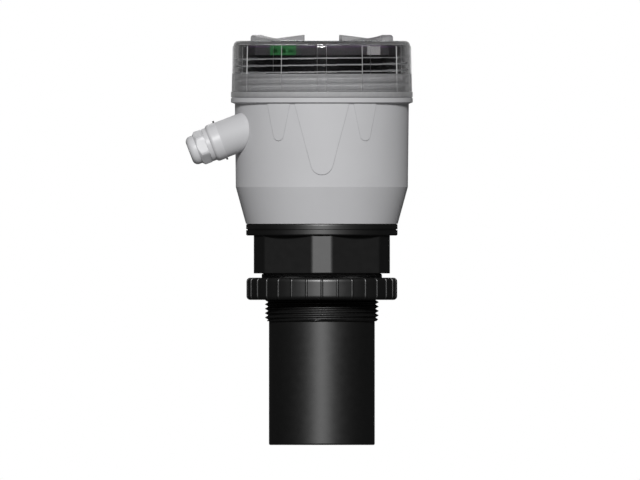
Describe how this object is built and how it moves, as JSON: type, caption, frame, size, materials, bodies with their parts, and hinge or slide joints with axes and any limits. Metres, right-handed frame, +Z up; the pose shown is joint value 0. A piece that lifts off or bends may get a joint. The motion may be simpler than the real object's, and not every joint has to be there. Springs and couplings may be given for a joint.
{
  "type": "ultrasonic level transmitter",
  "caption": "Ultrasonic level transmitter: grey round housing, clear screw-on cover over a keyed display, angled cable gland, hexagon, pipe thread, lock nut and sensor tube.",
  "frame": {"origin": "centre of the sensor face at the bottom of the tube", "axes": "+Z up along the tube to the cover, -Y the front with the reliefs, -X the cable entry's side"},
  "size_m": [0.1192, 0.0954, 0.2154],
  "materials": {
    "housing_grey": "fine satin moulding",
    "black_plastic": "satin moulding",
    "black_rubber": "matte",
    "clear_plastic": "clear and glossy",
    "pale_plastic": "satin moulding",
    "dark_plastic": "satin moulding",
    "purple_label": "printed sheet",
    "key_plastic": "soft moulding",
    "board_green": "lacquered board",
    "lcd_glass": "display panel",
    "component_black": "moulded parts of the boards",
    "capacitor_sleeve": "shrunk sleeve",
    "ribbon_grey": "flat cable",
    "terminal_green": "moulded terminal",
    "connector_pale": "moulded connector",
    "screw_steel": "plated",
    "post_brass": "turned",
    "sensor_ceramic": "fired disc",
    "sensor_filler": "cast",
    "matching_grey": "cast"
  },
  "bodies": {
    "base": {"housing": "housing_grey", "transducer_body": "black_plastic", "flange_seal": "black_rubber", "flange_screws": "screw_steel", "matching_layer": "matching_grey", "piezo_disc": "sensor_ceramic", "damping_ring": "sensor_filler", "potting": "sensor_filler", "transducer_leads": "post_brass", "standoffs": "post_brass", "main_board": "board_green", "board_screws": "screw_steel", "pulse_transformer": "component_black", "capacitors": "capacitor_sleeve", "display_ribbon": "ribbon_grey", "display_carrier": "dark_plastic", "display_board": "board_green", "display_bezel": "dark_plastic", "face_label": "purple_label", "lcd_panel": "lcd_glass", "key_switches": "component_black", "terminal_block": "terminal_green", "terminal_screws": "screw_steel", "connector": "connector_pale", "gland_gasket": "black_rubber", "gland_body": "pale_plastic"},
    "cover_ring": {"cover_seal": "black_rubber"},
    "cover": {"clear_cover": "clear_plastic"},
    "nut_ring": {"mounting_gasket": "black_rubber"},
    "nut": {"lock_nut": "black_plastic"},
    "gland_ring": {"gland_seal": "black_rubber"},
    "gland_cap": {"gland_nut": "pale_plastic"},
    "key_1": {"key_1": "key_plastic"},
    "key_2": {"key_2": "key_plastic"},
    "key_3": {"key_3": "key_plastic"},
    "key_4": {"key_4": "key_plastic"}
  },
  "joints": [
    {"name": "cover_turn", "type": "hinge", "parent": "base", "child": "cover_ring", "pos_m": [0, 0, 0.1822], "axis": [0, 0, 1], "range_deg": [0, 1080]},
    {"name": "cover_lift", "type": "slide", "parent": "cover_ring", "child": "cover", "axis": [0, 0, 1], "range_m": [0, 0.0108]},
    {"name": "nut_turn", "type": "hinge", "parent": "base", "child": "nut_ring", "pos_m": [0, 0, 0.0879], "axis": [0, 0, -1], "range_deg": [0, 3240]},
    {"name": "nut_travel", "type": "slide", "parent": "nut_ring", "child": "nut", "axis": [0, 0, -1], "range_m": [0, 0.02078]},
    {"name": "gland_turn", "type": "hinge", "parent": "base", "child": "gland_ring", "pos_m": [-0.06541, -0.0152, 0.1554], "axis": [-0.9336, 0, -0.3584], "range_deg": [0, 1080]},
    {"name": "gland_travel", "type": "slide", "parent": "gland_ring", "child": "gland_cap", "axis": [-0.9336, 0, -0.3584], "range_m": [0, 0.0045]},
    {"name": "key_1_press", "type": "slide", "parent": "base", "child": "key_1", "axis": [0, 0, -1], "range_m": [0, 0.0005], "stiffness_N_per_m": 1500},
    {"name": "key_2_press", "type": "slide", "parent": "base", "child": "key_2", "axis": [0, 0, -1], "range_m": [0, 0.0005], "stiffness_N_per_m": 1500},
    {"name": "key_3_press", "type": "slide", "parent": "base", "child": "key_3", "axis": [0, 0, -1], "range_m": [0, 0.0005], "stiffness_N_per_m": 1500},
    {"name": "key_4_press", "type": "slide", "parent": "base", "child": "key_4", "axis": [0, 0, -1], "range_m": [0, 0.0005], "stiffness_N_per_m": 1500}
  ],
  "couplings": [
    {"joint": "cover_lift", "follows": "cover_turn", "m_per_rad": 0.00057296},
    {"joint": "nut_travel", "follows": "nut_turn", "m_per_rad": 0.00036749},
    {"joint": "gland_travel", "follows": "gland_turn", "m_per_rad": 0.00023873}
  ]
}
